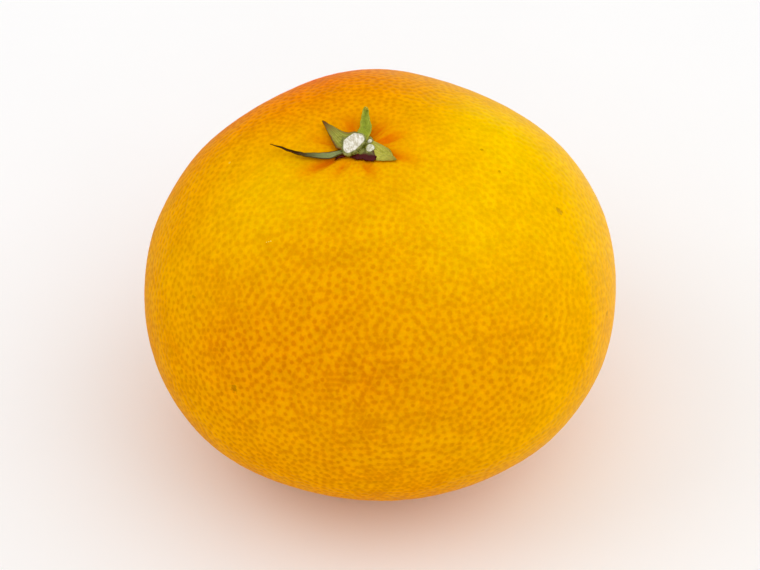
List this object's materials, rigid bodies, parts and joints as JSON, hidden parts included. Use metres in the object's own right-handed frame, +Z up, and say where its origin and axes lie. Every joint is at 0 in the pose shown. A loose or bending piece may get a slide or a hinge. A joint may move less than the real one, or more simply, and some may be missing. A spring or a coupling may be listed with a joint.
{
  "type": "mandarin",
  "caption": "Fresh whole mandarin with glossy pitted peel, a torn green calyx and a short cut stalk, lying on a small flat of its base.",
  "frame": {"origin": "on the resting plane, under the middle of the fruit's widest outline", "axes": "+Z up from the resting plane, the stalk end on top and leaning to -X, the long curled sepal pointing to -X and -Y to the side that shows in front"},
  "size_m": [0.0658, 0.0664, 0.0532],
  "materials": {
    "peel": "fresh citrus peel: waxy half gloss, pitted all over with fine oil glands",
    "sepal": "matte dry-edged green leaf tissue",
    "cut_stalk": "raw cut green stalk, fibrous and matte"
  },
  "bodies": {
    "root": {"fruit": "peel", "calyx": "sepal", "stem_stub": "cut_stalk"}
  },
  "joints": []
}
